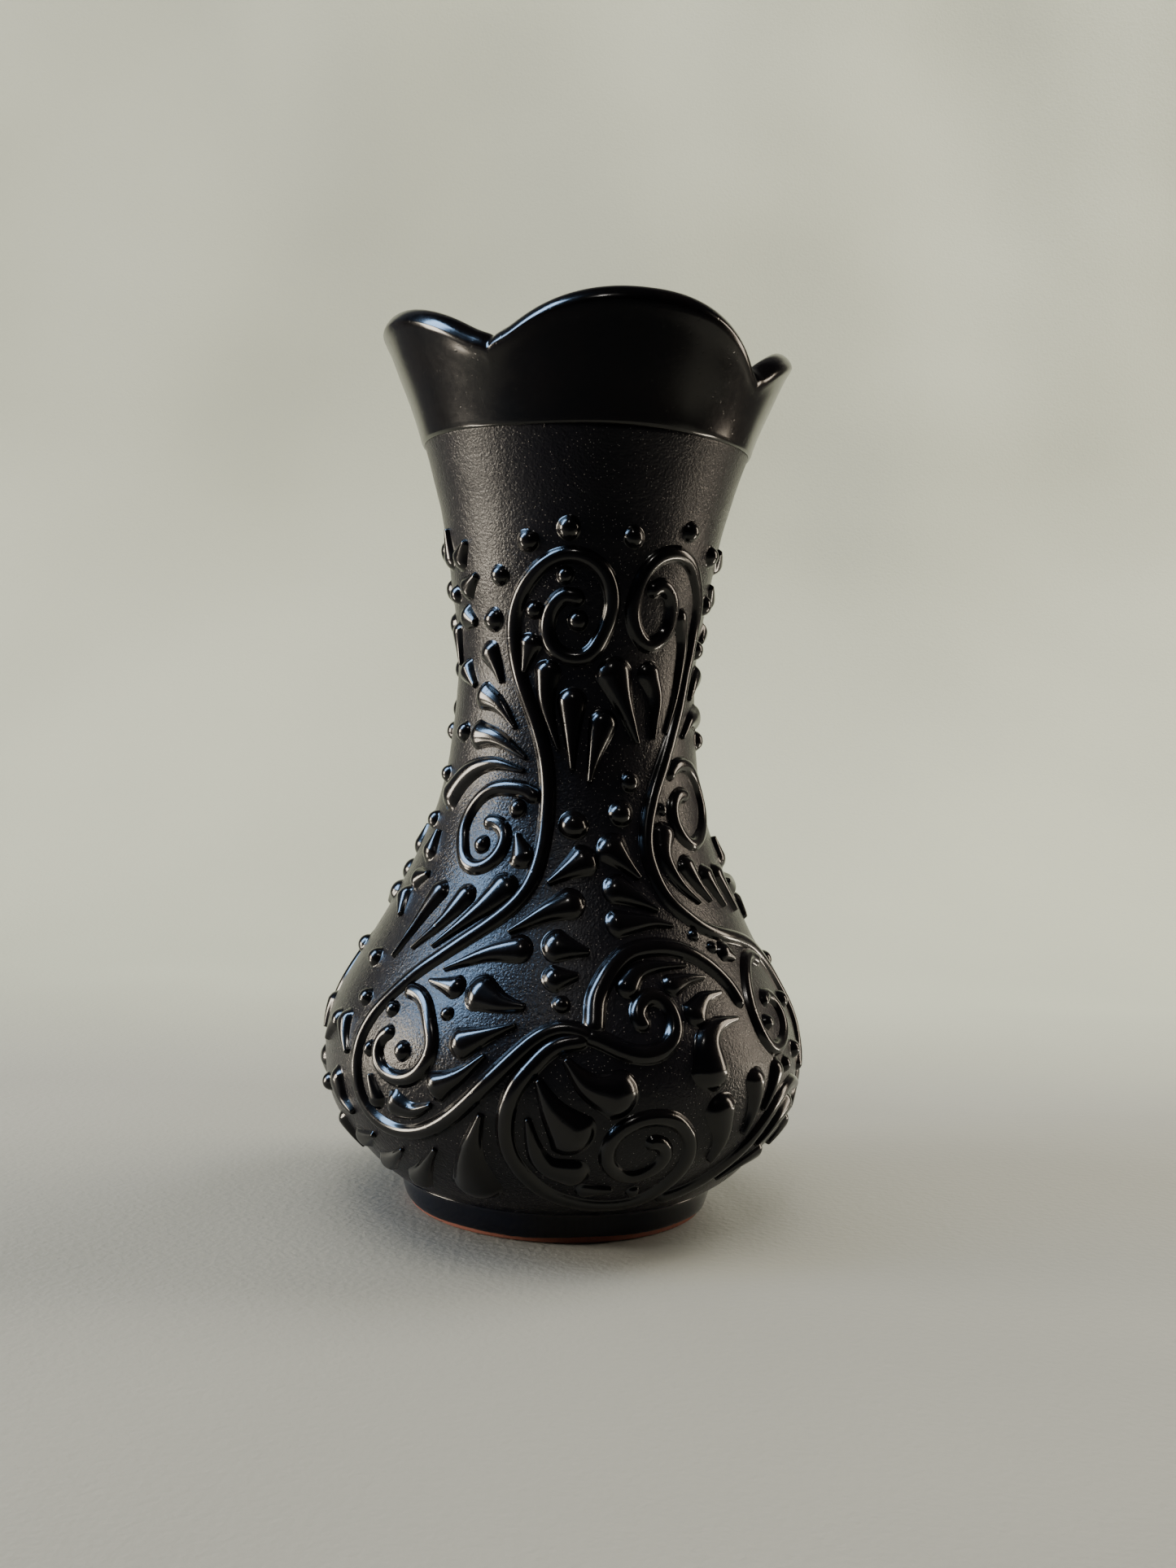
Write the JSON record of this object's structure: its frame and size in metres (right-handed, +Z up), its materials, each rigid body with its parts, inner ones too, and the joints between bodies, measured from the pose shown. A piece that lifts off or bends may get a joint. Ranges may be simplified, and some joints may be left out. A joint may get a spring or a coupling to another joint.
{
  "type": "clay vase",
  "caption": "Wheel-thrown black clay vase with a round belly, a slim neck, a four-petalled lip and raised slip-trailed scrolls, leaves and dots.",
  "frame": {"origin": "centre of the foot's bearing face, on the pot's axis", "axes": "+Z up along the pot's axis, -Y towards the front of the decoration"},
  "size_m": [0.116, 0.1158, 0.2078],
  "materials": {
    "red_clay": "bare fired red clay, dry and slightly rough",
    "matte_black": "satin black skin with a fine orange-peel grain and tiny bright specks",
    "gloss_black": "glossy black glaze",
    "foot_gloss": "glossy blue-black glaze over the foot",
    "relief_gloss": "thick glossy black slip in raised beads"
  },
  "bodies": {
    "root": {"clay_body": "red_clay", "foot_ring": "red_clay", "foot_glaze": "foot_gloss", "black_coat": "matte_black", "lip_band": "gloss_black", "inner_glaze": "gloss_black", "front_left_vine": "relief_gloss", "front_left_shoulder_scroll": "relief_gloss", "front_left_belly_scroll": "relief_gloss", "front_centre_scroll": "relief_gloss", "front_centre_arch": "relief_gloss", "front_centre_hook": "relief_gloss", "front_right_vine": "relief_gloss", "front_right_shoulder_scroll": "relief_gloss", "front_right_belly_scroll": "relief_gloss", "front_low_right_vine": "relief_gloss", "front_neck_leaves": "relief_gloss", "front_shoulder_leaves": "relief_gloss", "front_belly_leaves": "relief_gloss", "front_neck_dots": "relief_gloss", "front_shoulder_dots": "relief_gloss", "front_belly_dots": "relief_gloss", "back_left_vine": "relief_gloss", "back_left_shoulder_scroll": "relief_gloss", "back_left_belly_scroll": "relief_gloss", "back_centre_scroll": "relief_gloss", "back_centre_arch": "relief_gloss", "back_centre_hook": "relief_gloss", "back_right_vine": "relief_gloss", "back_right_shoulder_scroll": "relief_gloss", "back_right_belly_scroll": "relief_gloss", "back_low_right_vine": "relief_gloss", "back_neck_leaves": "relief_gloss", "back_shoulder_leaves": "relief_gloss", "back_belly_leaves": "relief_gloss", "back_neck_dots": "relief_gloss", "back_shoulder_dots": "relief_gloss", "back_belly_dots": "relief_gloss"}
  },
  "joints": []
}
